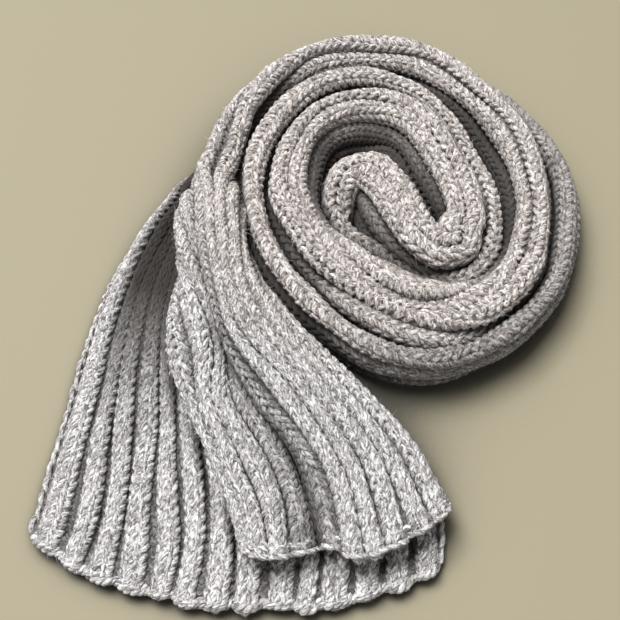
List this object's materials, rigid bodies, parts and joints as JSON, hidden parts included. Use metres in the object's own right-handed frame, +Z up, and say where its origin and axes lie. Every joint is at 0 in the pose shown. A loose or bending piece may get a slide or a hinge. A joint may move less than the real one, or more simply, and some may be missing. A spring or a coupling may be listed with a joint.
{
  "type": "ribbed knitted scarf",
  "caption": "Light grey hand-knitted scarf in wide rib, folded in half and rolled flat, with its two ends fanned out beside the roll.",
  "frame": {"origin": "on the table, in the middle of the rolled scarf's whole footprint", "axes": "+Z up from the table; -Y towards the free ends of the scarf; +X to the right when the ends are nearest"},
  "size_m": [0.2297, 0.2853, 0.033],
  "materials": {
    "upper_yarn": "soft heathered wool-blend yarn, slightly fuzzy",
    "lower_yarn": "soft heathered wool-blend yarn, slightly fuzzy",
    "edge_yarn": "the same yarn, in the cast-on and bind-off rows"
  },
  "bodies": {
    "roll_outer": {"upper_turn_back": "upper_yarn", "upper_turn_right": "upper_yarn", "upper_turn_front": "upper_yarn", "upper_inner_left": "upper_yarn", "upper_inner_back": "upper_yarn", "upper_inner_right": "upper_yarn", "lower_turn_back": "lower_yarn", "lower_turn_right": "lower_yarn", "lower_turn_front": "lower_yarn", "lower_inner_left": "lower_yarn", "lower_inner_back": "lower_yarn", "lower_inner_right": "lower_yarn", "lower_end_neck": "lower_yarn"},
    "roll_core": {"centre_fold": "upper_yarn", "lower_core_run": "lower_yarn"},
    "ends": {"upper_end_neck": "upper_yarn", "lower_end_panel": "lower_yarn", "cast_on_edge": "edge_yarn"},
    "upper_end": {"upper_end_panel": "upper_yarn"},
    "upper_tip": {"upper_end_tip": "upper_yarn", "bind_off_edge": "edge_yarn"},
    "lower_corner": {"lower_end_corner": "lower_yarn"}
  },
  "joints": [
    {"name": "core_rise", "type": "slide", "parent": "roll_outer", "child": "roll_core", "axis": [0, 0, 1], "range_m": [0, 0.015]},
    {"name": "ends_lift", "type": "hinge", "parent": "roll_outer", "child": "ends", "pos_m": [-0.0526, 0.0476, 0.033], "axis": [-1, 0, 0], "range_deg": [0, 40]},
    {"name": "upper_end_lift", "type": "hinge", "parent": "ends", "child": "upper_end", "pos_m": [-0.0456, 0.0016, 0.0324], "axis": [-1, 0, 0], "range_deg": [0, 45]},
    {"name": "tip_fold", "type": "hinge", "parent": "upper_end", "child": "upper_tip", "pos_m": [-0.0056, -0.0734, 0.0248], "axis": [-1, 0, 0], "range_deg": [0, 60]},
    {"name": "corner_turn", "type": "hinge", "parent": "ends", "child": "lower_corner", "pos_m": [-0.0921, -0.1049, 0.0072], "axis": [-0.5484, 0.8362, 0], "range_deg": [0, 110]}
  ]
}
